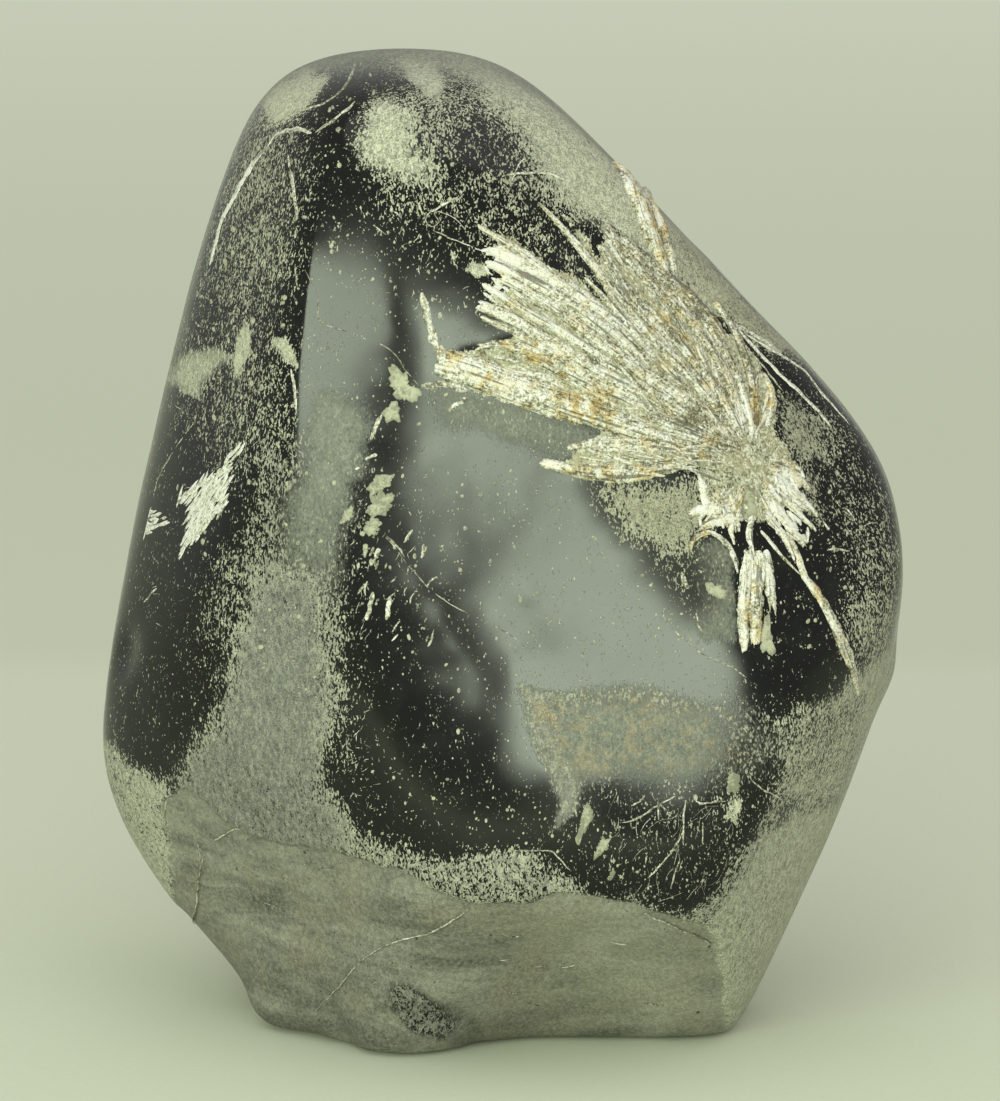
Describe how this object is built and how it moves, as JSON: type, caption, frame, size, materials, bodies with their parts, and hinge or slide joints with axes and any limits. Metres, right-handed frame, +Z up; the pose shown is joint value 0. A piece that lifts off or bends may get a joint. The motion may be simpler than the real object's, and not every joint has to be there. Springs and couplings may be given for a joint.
{
  "type": "chrysanthemum stone",
  "caption": "Leaning polished black pebble on a flat sawn foot, with a fan of pale crystal blades standing a little proud of its front.",
  "frame": {"origin": "centre of the bounding box in plan, on the plane of the sawn foot", "axes": "+Z up from the foot, the crystal fan faces -Y, +X to the right as seen from the front"},
  "size_m": [0.1932, 0.1254, 0.2354],
  "materials": {
    "polished_limestone": "polished black limestone with a fan of white to ochre fibrous crystal blades, hair-fine pale veins and flecks, and a matte grey-green skin left round the foot, the left cheek and the crown"
  },
  "bodies": {
    "root": {"chrysanthemum_stone": "polished_limestone"}
  },
  "joints": []
}
